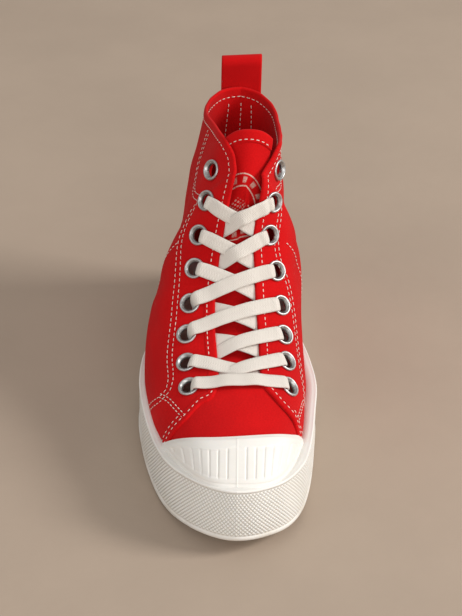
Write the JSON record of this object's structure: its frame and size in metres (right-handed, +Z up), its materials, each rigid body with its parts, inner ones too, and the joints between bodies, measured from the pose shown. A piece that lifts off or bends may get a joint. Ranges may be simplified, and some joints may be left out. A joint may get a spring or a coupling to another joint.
{
  "type": "canvas high-top sneaker",
  "caption": "Right canvas high-top sneaker with rubber toe cap, taped rubber sole, laced eyelet throat, tongue and heel pull loop, standing empty.",
  "frame": {"origin": "middle of the shoe's bounding box, on the floor that the sole stands on", "axes": "+Y from toe to heel, +X towards the medial (inner) side of the foot, +Z up"},
  "size_m": [0.1001, 0.2714, 0.159],
  "materials": {
    "sole_rubber": "matte",
    "wall_rubber": "satin",
    "canvas": "matte",
    "webbing": "matte",
    "lining": "matte",
    "lace": "matte",
    "eyelet_metal": "satin"
  },
  "bodies": {
    "root": {"outsole": "sole_rubber", "foxing": "wall_rubber", "toe_cap": "wall_rubber", "upper": "canvas", "insole": "lining", "tongue": "canvas", "pull_loop": "webbing", "eyelet_lateral_1": "eyelet_metal", "eyelet_lateral_2": "eyelet_metal", "eyelet_lateral_3": "eyelet_metal", "eyelet_lateral_4": "eyelet_metal", "eyelet_lateral_5": "eyelet_metal", "eyelet_lateral_6": "eyelet_metal", "eyelet_lateral_7": "eyelet_metal", "eyelet_lateral_8": "eyelet_metal", "eyelet_medial_1": "eyelet_metal", "eyelet_medial_2": "eyelet_metal", "eyelet_medial_3": "eyelet_metal", "eyelet_medial_4": "eyelet_metal", "eyelet_medial_5": "eyelet_metal", "eyelet_medial_6": "eyelet_metal", "eyelet_medial_7": "eyelet_metal", "eyelet_medial_8": "eyelet_metal", "lace_crossing_2": "lace", "lace_crossing_3": "lace", "lace_crossing_4": "lace", "lace_crossing_5": "lace", "lace_crossing_6": "lace", "lace_crossing_7": "lace", "lace_bar_8": "lace"}
  },
  "joints": []
}
